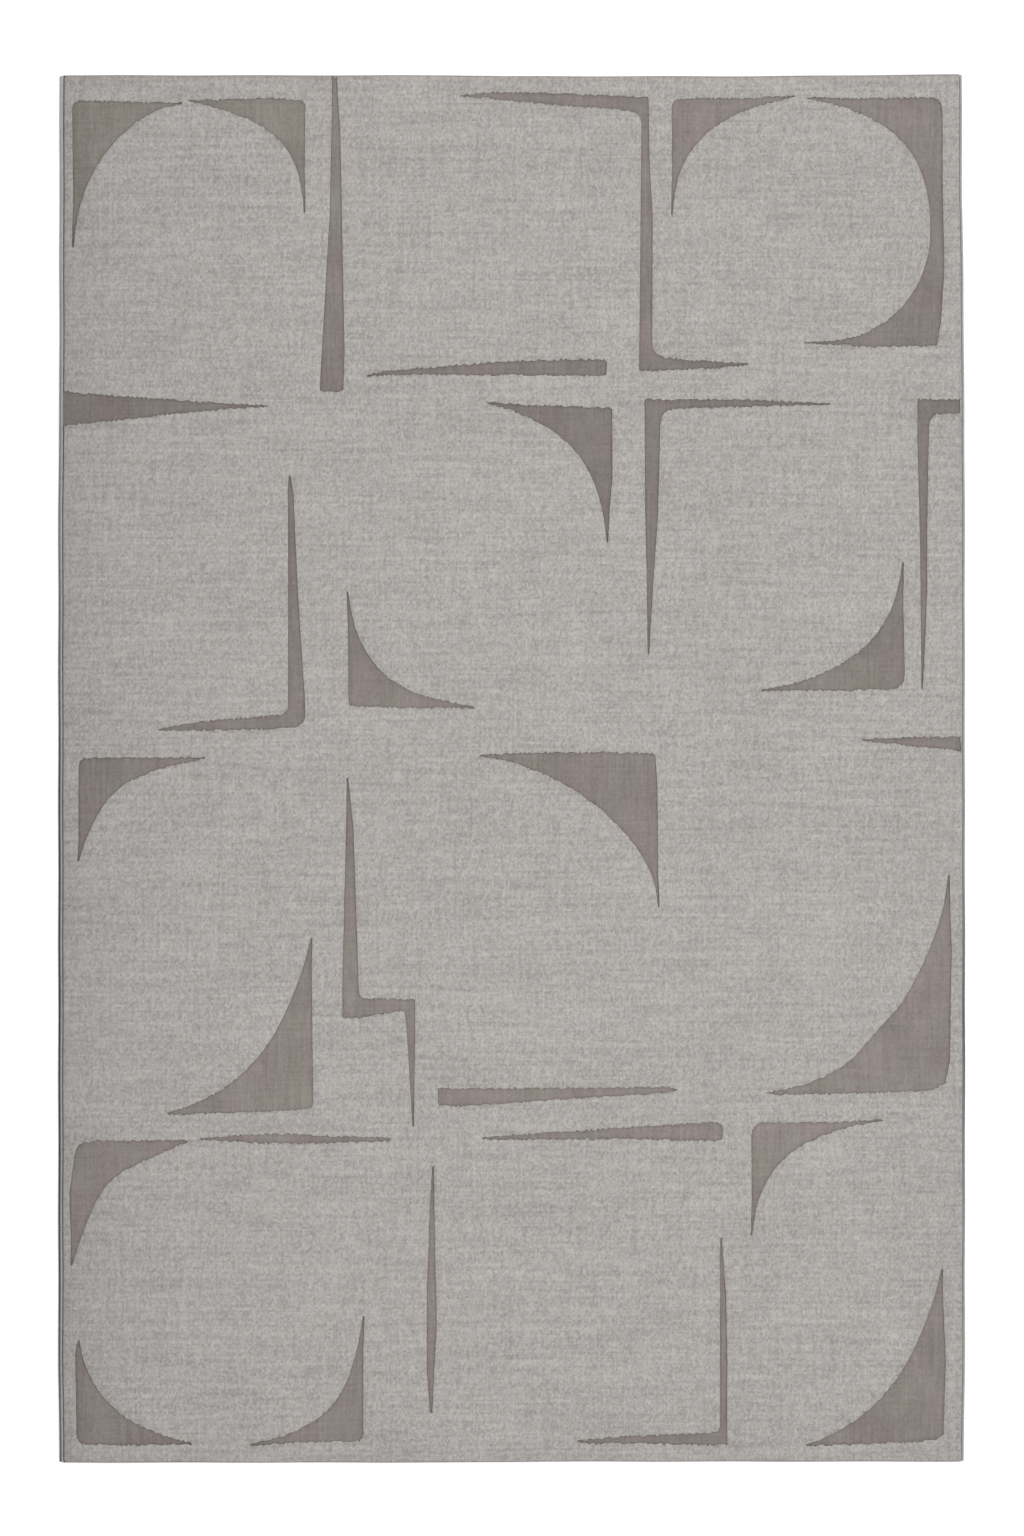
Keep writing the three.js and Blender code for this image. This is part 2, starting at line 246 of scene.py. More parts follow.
# %% [markdown]
# ## Ground yarn
#
# The ground is heat-set polypropylene, spun from a pale and a darker strand and sheared level. From above
# every cut tuft has a shade of its own, and the columns and rows of tufts show as long faint lines along
# and across the rug. Each is a stretched pattern of its real size, and their sum runs between the two
# strands' colours. The relief is the tufts' tips.

# %% Make the ground yarn
GROUND_LAYERS = [
    (TUFT, 3.0, 3.6, 0.78),  # cut tufts
    (SOFT, 0.7, 0.9, 0.8),  # ends of strands, too fine to show except close up
    (SOFT, 6.0, 7.5, 0.3),  # clumps of tufts
    (SOFT, 4.6, 110, 0.38),  # columns of tufts
    (SOFT, 12, 120, 0.12),
    (SOFT, 110, 4.6, 0.62),  # rows of tufts
    (SOFT, 130, 12, 0.25),
    (SOFT, 120, 100, 0.15),
    (SOFT, 330, 240, 0.1),
]
GROUND_BUMP = [(TUFT, 3.0, 3.6, 0.7), (SOFT, 0.8, 1.0, 0.5), (SOFT, 4.5, 11, 0.6), (SOFT, 40, 6, 0.4)]

ground_yarn, tree, shader = new_material("heat_set_polypropylene_ground", roughness=0.95, sheen=0.1)
# The ground's colour is darkened towards the edges as painted shade.
colour = painted_edge_shade(tree, dyed(tree, GROUND_LAYERS, "#7E7A77", "#A4A19E"))
tree.links.new(colour, shader.inputs["Base Color"])
relief = {"Height": summed(tree, GROUND_BUMP), "Strength": 0.5, "Distance": 0.5 * MM}
tree.links.new(node(tree, "ShaderNodeBump", relief).outputs[0], shader.inputs["Normal"])
print(ground_yarn.name, len(tree.nodes), "nodes")

# %% [markdown]
# ## Figure yarn
#
# The figures are the same yarn in a darker taupe, sheared low and dense, so they look like velour: fine
# ribs along the rug where the columns of tufts stand, soft smudges where the nap was stroked, and a little
# more sheen than the ground. Two things set one figure apart from the next. The nap was brushed in bands
# across the rug, some darker than others, which a colour ramp along the rug gives. And the dye wanders
# between a greener and a pinker taupe: it is greenest at the upper left corner, where a round gradient
# pulls it that way.

# %% Make the figure yarn
FIGURE_LAYERS = [
    (TUFT, 2.6, 3.4, 0.6),  # cut tufts
    (SOFT, 0.6, 0.8, 0.6),  # ends of strands
    (SOFT, 4.2, 70, 0.9),  # ribs of the columns of tufts
    (SOFT, 10, 100, 0.4),
    (SOFT, 90, 4.6, 0.6),  # rows of tufts
    (SOFT, 40, 45, 0.45),  # stroked nap
    (SOFT, 90, 110, 0.7),
]
FIGURE_BUMP = [(SOFT, 3.4, 30, 1.0), (TUFT, 2.6, 3.4, 0.4), (SOFT, 0.6, 0.8, 0.5)]
GREEN_TINT, PINK_TINT = "#F9FFF8", "#FFFCFE"
GREEN_PLACE = (-0.68, 1.05)  # the greenest spot, in metres
GREEN_REACH = 0.45  # metres
GREEN_PULL = -1.6  # at the greenest spot, against
PINK_PULL = 0.6  # everywhere
BANDS = [  # place along the rug in metres, and brightness of the brushed nap there
    (-1.15, 0.93),
    (-0.8, 1.0),
    (-0.35, 0.99),
    (-0.12, 0.91),
    (0.12, 0.93),
    (0.33, 0.83),
    (0.6, 0.82),
    (0.8, 0.91),
    (1.15, 0.91),
]

figure_yarn, tree, shader = new_material("sheared_velour_figures", roughness=0.85, sheen=0.15)
place = node(tree, "ShaderNodeTexCoord").outputs["Object"]
centred = {"Vector": place, "Scale": [1 / GREEN_REACH] * 3}
centred["Location"] = (-GREEN_PLACE[0] / GREEN_REACH, -GREEN_PLACE[1] / GREEN_REACH, 0)
spot = {"Vector": node(tree, "ShaderNodeMapping", centred).outputs[0]}
greener = node(tree, "ShaderNodeTexGradient", spot, gradient_type="SPHERICAL").outputs["Fac"]
pulls = {0: greener, 1: GREEN_PULL, 2: PINK_PULL}
pull = node(tree, "ShaderNodeMath", pulls, operation="MULTIPLY_ADD").outputs[0]
tint = dyed(tree, [(SOFT, 80, 100, 2.5)], GREEN_TINT, PINK_TINT, pull)

along = node(tree, "ShaderNodeSeparateXYZ", {0: place}).outputs["Y"]
start, length = BANDS[0][0], BANDS[-1][0] - BANDS[0][0]
share = {0: along, 1: 1 / length, 2: -start / length}
share = node(tree, "ShaderNodeMath", share, operation="MULTIPLY_ADD").outputs[0]
ramp = node(tree, "ShaderNodeValToRGB", {"Fac": share})
for y, brightness in BANDS:
    stop = ramp.color_ramp.elements.new((y - start) / length)
    stop.color = (brightness, brightness, brightness, 1)
for spare in (0, -1):  # the two stops that a new ramp comes with
    ramp.color_ramp.elements.remove(ramp.color_ramp.elements[spare])

colour = dyed(tree, FIGURE_LAYERS, "#6D6662", "#847C79")
for factor in (tint, ramp.outputs["Color"]):
    product = {0: colour, 1: factor}
    colour = node(tree, "ShaderNodeVectorMath", product, operation="MULTIPLY").outputs[0]
# The figures' colour gets the same painted shade towards the edges.
tree.links.new(painted_edge_shade(tree, colour), shader.inputs["Base Color"])
relief = {"Height": summed(tree, FIGURE_BUMP), "Strength": 0.4, "Distance": 0.3 * MM}
tree.links.new(node(tree, "ShaderNodeBump", relief).outputs[0], shader.inputs["Normal"])
print(figure_yarn.name, len(tree.nodes), "nodes,", len(ramp.color_ramp.elements), "bands")

# %% [markdown]
# ## Edge yarns and cloths
#
# The serging yarn is a twisted polyester in the ground's grey. Its outer flank is darkened as painted
# shade, and an attribute on the mesh, from 0 on the inner side to 1 at the outer foot, places that shade.
# The needle thread is darker and shows little of itself. The tuft cloth is a woven polypropylene in tan,
# the lining a coarser jute-coloured weave, the latex a cream coat, and the turned ends are the tuft cloth
# dyed dark by glue. A weave is two wave textures at right angles, each with the real spacing of the
# threads.

# %% Make the edge yarns and cloths
FLANK = "flank"
# The near-black of the painted shade on the serging's outer flank.
FLANK_SHADE_COLOUR = "#272624"
WAVE_BANDS = 2 * np.pi / 20  # metres from band to band of a wave texture at scale 1

serging_yarn, tree, shader = new_material("twisted_polyester_serging", roughness=0.8, sheen=0.1)
strands = dyed(tree, [(SOFT, 6, 2.6, 1.0), (SOFT, 200, 90, 0.6)], "#9E9D9A", "#BEBDBA")
# Painted shade: the strands are mixed towards near-black where the flank attribute is high.
flank = node(tree, "ShaderNodeAttribute", attribute_name=FLANK).outputs["Fac"]
flank_shade = {"Factor": flank, MIX_A: strands, MIX_B: linear(FLANK_SHADE_COLOUR)}
shaded_strands = node(tree, "ShaderNodeMix", flank_shade, data_type="RGBA").outputs[MIX_COLOUR]
tree.links.new(shaded_strands, shader.inputs["Base Color"])
relief = {"Height": summed(tree, [(SOFT, 0.5, 1.2, 1.0)]), "Strength": 0.5, "Distance": 0.2 * MM}
tree.links.new(node(tree, "ShaderNodeBump", relief).outputs[0], shader.inputs["Normal"])

needle_thread, tree, shader = new_material("spun_polyester_needle_thread", roughness=0.7)
tree.links.new(dyed(tree, [(SOFT, 1, 2.5, 1.5)], "#5E5B58", "#7C7976"), shader.inputs["Base Color"])

CLOTHS = {  # name: threads' spacing in mm, dark and light colour
    "woven_polypropylene_tuft_cloth": (1.6, "#8A857C", "#B0AAA0"),
    "glued_tuft_cloth_hem": (1.6, "#524E49", "#7C7771"),
    "coarse_woven_lining": (2.8, "#8E8675", "#BDB5A4"),
}
cloth_materials = {}
for name, (spacing, dark, light) in CLOTHS.items():
    cloth, tree, shader = new_material(name, roughness=0.9)
    place = node(tree, "ShaderNodeTexCoord").outputs["Object"]
    height = 1.0
    for direction in ("X", "Y"):
        waves = {"Vector": place, "Scale": WAVE_BANDS / (spacing * MM), "Distortion": 0.3}
        threads = node(tree, "ShaderNodeTexWave", waves, bands_direction=direction).outputs["Fac"]
        crossed = {0: height, 1: threads}
        height = node(tree, "ShaderNodeMath", crossed, operation="MULTIPLY").outputs[0]
    worn = summed(tree, [(SOFT, 40, 30, 0.8)], centre=height)
    ends = {"Factor": worn, MIX_A: linear(dark), MIX_B: linear(light)}
    colour = node(tree, "ShaderNodeMix", ends, data_type="RGBA").outputs[MIX_COLOUR]
    tree.links.new(colour, shader.inputs["Base Color"])
    relief = {"Height": height, "Strength": 0.7, "Distance": 0.4 * MM}
    tree.links.new(node(tree, "ShaderNodeBump", relief).outputs[0], shader.inputs["Normal"])
    cloth_materials[name] = cloth

latex, tree, shader = new_material("cream_latex_coat", roughness=0.6)
colour = dyed(tree, [(SOFT, 12, 9, 1.0), (SOFT, 90, 70, 0.6)], "#B9B1A0", "#D6D0C2")
tree.links.new(colour, shader.inputs["Base Color"])
relief = {"Height": summed(tree, [(SOFT, 5, 4, 1.0)]), "Strength": 0.3, "Distance": 0.3 * MM}
tree.links.new(node(tree, "ShaderNodeBump", relief).outputs[0], shader.inputs["Normal"])
print("cloths", list(cloth_materials))

# %% [markdown]
# ## The plan of the pile
#
# Each figure's outline is the edge of the top face of its node, so the visual model can't drift from the
# packed one. A copy of the node's mesh is merged first, because a node's mesh is loose triangles.


# %% Read an outline from a node
def outline(name):
    """The edge of a node's top face, as points in order, anticlockwise from above."""
    plan = bmesh.new()
    plan.from_mesh(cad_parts[name].data)
    bmesh.ops.remove_doubles(plan, verts=plan.verts, dist=0.01 * MM)
    plan.normal_update()
    top = {face for face in plan.faces if face.normal.z > 0.99}
    following = {}
    for face in top:
        for corner in face.loops:
            if corner.link_loop_radial_next.face not in top:
                following[corner.vert.index] = corner.link_loop_next.vert.index
    plan.verts.ensure_lookup_table()
    # The set of faces has no fixed order, so the first point can differ between runs, and with it which
    # point each random draw goes to.
    start = at = next(iter(following))
    points = []
    while not points or at != start:
        points.append(plan.verts[at].co.xy[:])
        at = following[at]
    plan.free()
    return np.array(points)


PREFIX = "low_pile_"
outlines = {name: outline(name) for name in sorted(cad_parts) if name.startswith(PREFIX)}
print(len(outlines), "figures,", sum(map(len, outlines.values())), "corners")

# %% [markdown]
# ## Sides with teeth
#
# Tufts stand in columns 3.8 mm apart, so a side that runs across the rug ends in teeth, each column at a
# row of its own, while a side that runs along a column is smooth. A side is first cut into short steps,
# close together where it has teeth, and each step is then pushed out or in by its column's reach.

# %% Cut and push the sides
COLUMN = 3.8  # mm between columns of tufts
TOOTH_STEP = 1.9  # mm, half a column
SMOOTH_STEP = 4.5  # mm, along the columns
TOOTH = 1.6  # mm that a column ends early or late
SIDE_TOOTH = 0.15  # mm, on a side along the columns
TIP_SHARE = 0.25  # of a tip's width that a tooth may be
ACROSS = 0.35  # a side is toothed if its normal points along the rug by more than this

rng = np.random.default_rng(7)


def outward(points):
    """The direction out of an anticlockwise outline at each of its points."""
    side = np.roll(points, -1, axis=0) - points
    normal = np.stack([side[:, 1], -side[:, 0]], axis=1)
    normal /= np.linalg.norm(normal, axis=1, keepdims=True)
    both = normal + np.roll(normal, 1, axis=0)
    return both / np.maximum(np.linalg.norm(both, axis=1, keepdims=True), 1e-6)


def stepped(points):
    """The outline with its sides cut into short steps."""
    made = []
    for start, end in zip(points, np.roll(points, -1, axis=0)):
        run, rise = np.abs(end - start)
        length = np.hypot(run, rise)
        step = TOOTH_STEP if run > ACROSS * length else SMOOTH_STEP
        count = max(1, int(round(length / (step * MM))))
        made += [start + (end - start) * i / count for i in range(count)]
    return np.array(made)


def thickness(points, normal):
    """How far each point of a side is from the side opposite."""
    apart = np.linalg.norm(points[:, None] - points[None], axis=2)
    opposite = normal @ normal.T < 0
    return np.where(opposite, apart, np.inf).min(axis=1)


def teeth(points, normal):
    """How far each point of a side stands out past its outline. A thin tip keeps to its outline."""
    column = np.floor(points[:, 0] / (COLUMN * MM)).astype(int)
    column -= column.min()
    reach = rng.uniform(-TOOTH, TOOTH, (2, column.max() + 1))
    upper = (normal[:, 1] > 0).astype(int)
    along = rng.uniform(-SIDE_TOOTH, SIDE_TOOTH, len(points))
    reach = (reach[upper, column] * normal[:, 1] ** 2 + along) * MM
    limit = TIP_SHARE * thickness(points, normal)
    return np.clip(reach, -limit, limit)[:, None]


print("teeth every", COLUMN, "mm")

# %% [markdown]
# ## Points between the sides
#
# Between its sides the pile is a field of points in staggered rows, each moved a little at random, as
# tufts are. Two tests keep them clear of the outlines: whether a point lies inside one, and how far it is
# from the nearest side.


# %% Scatter the points
def inside(points, loop):
    """Which points lie inside a closed loop: a ray from each crosses it an odd number of times."""
    result = np.zeros(len(points), bool)
    x, y = points.T
    near = np.flatnonzero((points >= loop.min(0)).all(1) & (points <= loop.max(0)).all(1))
    x, y = x[near], y[near]
    odd = np.zeros(len(near), bool)
    for (ax, ay), (bx, by) in zip(loop, np.roll(loop, -1, axis=0)):
        if ay != by:
            odd ^= ((ay > y) != (by > y)) & (x < (bx - ax) * (y - ay) / (by - ay) + ax)
    result[near] = odd
    return result


def close_to(points, loop, distance):
    """Which points lie closer to a loop's sides than a distance."""
    result = np.zeros(len(points), bool)
    low, high = loop.min(0) - distance, loop.max(0) + distance
    near = np.flatnonzero((points >= low).all(1) & (points <= high).all(1))
    at = points[near]
    touched = np.zeros(len(near), bool)
    for start, end in zip(loop, np.roll(loop, -1, axis=0)):
        side = end - start
        share = np.clip((at - start) @ side / (side @ side), 0, 1)
        touched |= np.linalg.norm(at - start - share[:, None] * side, axis=1) < distance
    result[near] = touched
    return result


def rows_of_points(low, high, across, along, jitter):
    """Staggered rows in a rectangle. Gives the points and whether each row is an odd one."""
    columns = np.arange(low[0], high[0], across * MM)
    rows = np.arange(low[1], high[1], along * MM)
    x, y = np.meshgrid(columns, rows)
    odd = np.arange(len(rows)) % 2
    x = x + odd[:, None] * across * MM / 2
    points = np.stack([x.ravel(), y.ravel()], axis=1)
    points += rng.uniform(-jitter, jitter, points.shape) * MM
    return points, np.repeat(odd, len(columns))


print("point tests ready")

# %% [markdown]
# ## From a plan to a pile
#
# Blender's own triangulator joins the points and keeps every side as edges, which a displaced grid or a
# Boolean cut couldn't do without ragged steps or slivers. What is inside a figure is dropped, the free
# edge is drawn down to the cloth as a wall, and the foot is closed the same way. But the foot is
# triangulated apart from the top, and in places the two don't quite match: in most piles a few edges of
# the foot stay open, and a few at the foot or the top are used twice.


# %% Build a pile
def triangles(points, sides):
    """Joins points, keeping sides as edges. Gives points, triangles and each point's first number."""
    made = delaunay_2d_cdt([Vector(p) for p in points], sides, [], 0, 1e-8)
    origin = np.array([old[0] if old else -1 for old in made[3]])
    return np.array([p[:] for p in made[0]]), np.array(made[2]), origin


def kept_triangles(points, faces, outer, holes):
    """The triangles inside the outer loop and outside the holes."""
    middle = points[faces].mean(axis=1)
    border = 5 * MM
    inner_box = (middle > outer.min(0) + border).all(1) & (middle < outer.max(0) - border).all(1)
    keep = inner_box.copy()
    rim = np.flatnonzero(~inner_box)
    keep[rim] = inside(middle[rim], outer)
    for hole in holes:
        keep &= ~inside(middle, hole)
    return faces[keep]


def ring(start, count):
    return [(start + i, start + (i + 1) % count) for i in range(count)]


def build_pile(name, loops, field, foot, material):
    """A pile's top, walls and foot. Each loop is a dict of foot, edge and perhaps rim points with their
    heights, the outer loop first; field is the points between, with their heights."""
    points, heights, feet, sides = [], [], [], []
    for loop in loops:
        for part in ("edge", "rim"):
            if part in loop:
                sides += ring(len(points), len(loop[part]))
                points += list(loop[part])
                heights += list(loop[part + "_height"])
                feet += list(loop["foot"])
    points = np.array(points + list(field[0]))
    heights = np.array(heights + list(field[1]))
    feet = np.array(feet)

    top, faces, origin = triangles(points, sides)
    outer, holes = loops[0]["edge"], [loop["edge"] for loop in loops[1:]]
    faces = kept_triangles(top, faces, outer, holes)
    z = np.where(origin >= 0, heights[origin], np.median(heights[: len(loops[0]["edge"])]))

    starts, ends = faces.ravel(), np.roll(faces, -1, axis=1).ravel()
    free = ~np.isin(starts * len(top) + ends, ends * len(top) + starts)
    border = np.stack([starts[free], ends[free]], axis=1)
    around = np.unique(border)
    known = (origin[around] >= 0) & (origin[around] < len(feet))
    foot_plan = np.where(known[:, None], feet[np.minimum(origin[around], len(feet) - 1)], top[around])

    number = np.full(len(top), -1)
    number[around] = np.arange(len(around))
    lower_sides = [tuple(side) for side in number[border].tolist()]
    lower, lower_faces, lower_origin = triangles(foot_plan, lower_sides)
    lower_loop = [loop["foot"] for loop in loops]
    lower_faces = kept_triangles(lower, lower_faces, lower_loop[0], lower_loop[1:])

    vertices = np.vstack(
        [
            np.column_stack([top, z]),
            np.column_stack([foot_plan, np.full(len(around), foot)]),
            np.column_stack([lower[lower_origin < 0], np.full((lower_origin < 0).sum(), foot)]),
        ]
    )
    place = np.where(
        lower_origin >= 0, lower_origin, len(around) + np.cumsum(lower_origin < 0) - 1
    ) + len(top)
    below = number[border] + len(top)
    walls = np.column_stack([below[:, 0], below[:, 1], border[:, 1], border[:, 0]])
    mesh = bpy.data.meshes.new(name)
    underside = place[lower_faces][:, ::-1]
    mesh.from_pydata(vertices.tolist(), [], faces.tolist() + walls.tolist() + underside.tolist())
    pile = bpy.data.objects.new(name, mesh)
    bpy.context.scene.collection.objects.link(pile)
    mesh.materials.append(material)

    bpy.ops.object.select_all(action="DESELECT")
    pile.select_set(True)
    bpy.context.view_layer.objects.active = pile
    bpy.ops.object.mode_set(mode="EDIT")
    bpy.ops.mesh.select_all(action="SELECT")
    bpy.ops.mesh.delete_loose()
    bpy.ops.object.mode_set(mode="OBJECT")
    bpy.ops.object.shade_smooth_by_angle(angle=np.radians(60))
    return pile


print("pile builder ready")

# %% [markdown]
# ## The ground pile
#
# The ground stands 3.5 mm above the figures. Its sides lean about 2 mm over them, because nothing there
# holds the tufts upright, and a little more where they lean with the nap. The rim is rounded where the
# shears have taken the corners, and the rows stand alternately a little high and low. The edge and the
# rim are two more rings of points, so the triangles between them make the rounding.

# %% Make the ground pile
GAP = 0.3 * MM  # between a figure and the ground's foot
RIM = 1.3 * MM  # from the side to the top of the rounding
OVERHANG = 2.1  # mm that the ground's free tufts lean over a figure
RIGHT_OVERHANG = 1.3  # mm that they lean over the right side's needle thread
LEFT_OVERHANG = -0.9  # mm, leaning back from the left side's
NAP_LEAN = 0.4  # mm more over a side that faces up the rug, and less over one that faces down
LEAN_SHARE = 0.14  # of a tip's width that they may lean over
LEFT_SET_BACK = 1.6 * MM  # that the left side's serging has pushed the pile back
EDGE_DROP, EDGE_UNEVEN = 1.3, 0.3  # mm that the side starts below the top, more or less
RIM_DROP, RIM_UNEVEN = 0.35, 0.15  # mm that the rim lies below the top
CORNER = 3 * MM  # the rounding of the pile's own corners
ARC = 0.29  # of that rounding, where its middle point lies
CLEAR = 3.3 * MM  # free of points beside a side
ROW_POINTS = (7.6, 6.9, 1.3)  # mm across, mm along, mm of jitter
ROW_WAVE = 0.14  # mm that rows stand high or low
WAVE_X, WAVE_Y, WAVE_BEND = 0.031, 0.043, 5  # where they do, in metres across and along
TUFT_WAVE = 0.10  # mm that single tufts do

foot_height, ground_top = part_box("ground_pile")[0].z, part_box("ground_pile")[1].z


def ground_side(foot, into, overhang):
    """The foot, edge and rim of one side of the ground. into is the direction into the pile."""
    edge = foot - into * overhang
    return {
        "foot": foot,
        "edge": edge,
        "edge_height": ground_top - (EDGE_DROP + rng.uniform(-EDGE_UNEVEN, EDGE_UNEVEN, len(foot))) * MM,
        "rim": edge + into * RIM,
        "rim_height": ground_top - (RIM_DROP + rng.uniform(-RIM_UNEVEN, RIM_UNEVEN, len(foot))) * MM,
    }


low, high = (np.array(corner.xy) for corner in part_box("ground_pile"))
low[0] += LEFT_SET_BACK
corners = [(low[0], low[1]), (high[0], low[1]), (high[0], high[1]), (low[0], high[1])]
frame_points = []
for turn, (x, y) in enumerate(corners):
    into_x, into_y = np.sign(-x) * CORNER, np.sign(-y) * CORNER
    cut = [(x, y + into_y), (x + into_x * ARC, y + into_y * ARC), (x + into_x, y)]
    frame_points += cut if turn % 2 == 0 else cut[::-1]

outer = stepped(np.array(frame_points))
covering = np.zeros((len(outer), 1))
covering[outer[:, 0] > high[0] - MM] = RIGHT_OVERHANG * MM
covering[outer[:, 0] < low[0] + MM] = LEFT_OVERHANG * MM
loops = [ground_side(outer, -outward(outer), covering)]
sides = {}
for name, figure in outlines.items():
    side = stepped(figure)
    out = outward(side)
    reach = teeth(side, out)
    sides[name] = side + out * reach
    lean = (OVERHANG + NAP_LEAN * out[:, 1]) * MM
    over = np.minimum(lean, LEAN_SHARE * thickness(side, out))[:, None]
    loops.append(ground_side(sides[name] + out * GAP, out, over))

spots, odd = rows_of_points(low + CLEAR, high - CLEAR, *ROW_POINTS)
free = np.ones(len(spots), bool)
for figure in outlines.values():
    free &= ~inside(spots, figure) & ~close_to(spots, figure, CLEAR)
spots, odd = spots[free], odd[free]
bend = WAVE_BEND * np.sin(spots[:, 1] / WAVE_Y)
wave = ROW_WAVE * (odd - 0.5) * (1 + np.sin(spots[:, 0] / WAVE_X + bend))
spot_heights = ground_top + (wave - ROW_WAVE + rng.normal(0, TUFT_WAVE, len(spots))) * MM
ground = build_pile("heathered_ground_pile", loops, (spots, spot_heights), foot_height, ground_yarn)
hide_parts("ground_pile")
print("ground pile", len(ground.data.vertices), "points", len(ground.data.polygons), "faces")

# %% [markdown]
# ## The figures
#
# Each figure is sheared low and even. Its edge gives way a little where the ground's tufts press on it.
# It stands on the same side as the ground's opening, tooth for tooth, so nothing shows between the two.

# %% Make the figures
FIGURE_POINTS = (4.6, 4.6, 0.9)  # mm across, mm along, mm of jitter
FIGURE_CLEAR = 1.4 * MM  # free of points beside a side
FIGURE_DROP, FIGURE_UNEVEN = 0.45, 0.1  # mm that the edge lies below the top, more or less
PRESSED = 0.8  # mm that the ground's tufts push a figure's edge back
NAP_WAVE = 0.05  # mm that single tufts stand high or low

figures = []
for name, figure in outlines.items():
    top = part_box(name)[1].z
    side = sides[name]
    out = outward(side)
    pressed = np.minimum(PRESSED * MM, LEAN_SHARE * thickness(side, out))[:, None]
    loop = {"foot": side, "edge": side - out * pressed}
    drop = FIGURE_DROP + rng.uniform(-FIGURE_UNEVEN, FIGURE_UNEVEN, len(side))
    loop["edge_height"] = top - drop * MM
    spots, _ = rows_of_points(figure.min(0), figure.max(0), *FIGURE_POINTS)
    spots = spots[inside(spots, side) & ~close_to(spots, side, FIGURE_CLEAR)]
    spot_heights = top + (rng.normal(0, NAP_WAVE, len(spots)) - NAP_WAVE) * MM
    velour = "velour_" + name[len(PREFIX) :]
    piece = build_pile(velour, [loop], (spots, spot_heights), foot_height, figure_yarn)
    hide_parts(name)
    figures.append(piece)
print(len(figures), "figures,", sum(len(piece.data.polygons) for piece in figures), "faces")

# %% [markdown]
# ## The cloths
#
# The tuft cloth, the latex coat and the lining are flat sheets, pressed together by the rug's own weight.
# Each is a grid of its node's size with a wall added by Solidify, fine enough to follow the rug's uneven
# sides. Their weave is too fine for geometry, so it is in the material.


# %% Make the cloths
CLOTH_SQUARES, LATEX_SQUARES = 25, 40  # mm


def apply_modifiers(piece):
    bpy.ops.object.select_all(action="DESELECT")
    piece.select_set(True)
    bpy.context.view_layer.objects.active = piece
    for modifier in list(piece.modifiers):
        bpy.ops.object.modifier_apply(modifier=modifier.name)


def sheet_of(node_name, name, material, squares):
    """A flat sheet with its node's size, in squares of about this many millimetres."""
    low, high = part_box(node_name)
    middle, size = (low + high) / 2, high - low
    cuts = [int(side / (squares * MM)) for side in size.xy]
    bpy.ops.mesh.primitive_grid_add(
        x_subdivisions=cuts[0], y_subdivisions=cuts[1], size=1, location=middle
    )
    piece = bpy.context.active_object
    piece.name = name
    piece.scale = (size.x, size.y, 1)
    bpy.ops.object.transform_apply(location=True, rotation=False, scale=True)
    wall = piece.modifiers.new("wall", "SOLIDIFY")
    wall.thickness = size.z
    wall.offset = 0
    apply_modifiers(piece)
    piece.data.materials.append(material)
    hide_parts(node_name)
    return piece


polypropylene = cloth_materials["woven_polypropylene_tuft_cloth"]
coarse_weave = cloth_materials["coarse_woven_lining"]
tuft_cloth = sheet_of("tuft_cloth", "woven_tuft_cloth", polypropylene, CLOTH_SQUARES)
latex_coat = sheet_of("latex_coat", "brushed_latex_coat", latex, LATEX_SQUARES)
lining = sheet_of("lining_cloth", "coarse_lining", coarse_weave, CLOTH_SQUARES)
print("cloths", [len(piece.data.polygons) for piece in (tuft_cloth, latex_coat, lining)], "faces")

# %% [markdown]
# ## The serged sides
#
# Serging is yarn wound over the cloth's raw edge, turn beside turn. One turn is a ring with a flat round
# section, set a little askew as the machine lays it. An Array sets 885 of them side by side, so the ring
# has only a few dozen faces. A rod fills the roll, so that nothing shows between the turns. The left
# roll has been trodden wider than the right one, and both are darkened on their outer side as painted
# shade, the left one more.

# %% Wind the serging
TURN_PITCH = 2.6  # mm from turn to turn
YARN_RADIUS = 0.45  # mm, half the yarn's thickness
TURN_SKEW = 12  # degrees
RING_STEPS = 10
YARN_SIDES = 4
ROD_SIDES = 10
ROD_CUTS = 60
ROD_SHORT = 2 * MM  # that the rod is shorter than the roll
BULGE = {"left": 2.6, "right": 0.0}  # mm that the roll has spread towards the pile
FLANK_SHADE_PLACES = [-1.15, -0.84, -0.43, 0.0, 0.78, 1.15]  # along the rug, in metres
FLANK_SHADE_AMOUNT = {  # how much painted shade the outer side has at each of these places
    "left": [0.8, 0.95, 1.0, 0.95, 0.5, 0.25],
    "right": [0.2, 0.3, 0.95, 0.3, 0.2, 0.2],
}
FLANK_SHADE_WIDTH = {"left": 5.7, "right": 4.3}  # mm of the roll's outer side
FLANK_SHADE_EDGE = 2.6  # how sharply the painted shade ends


def joined(name, *parts):
    """Joins parts into the first of them."""
    bpy.ops.object.select_all(action="DESELECT")
    for part in parts:
        part.select_set(True)
    bpy.context.view_layer.objects.active = parts[0]
    bpy.ops.object.join()
    parts[0].name = name
    return parts[0]


def row_of(piece, length, pitch):
    """Copies a piece along the rug until the row has this length."""
    row = piece.modifiers.new("row", "ARRAY")
    row.use_relative_offset = False
    row.use_constant_offset = True
    row.constant_offset_displace = (0, pitch, 0)
    row.count = int(length / pitch)
    apply_modifiers(piece)


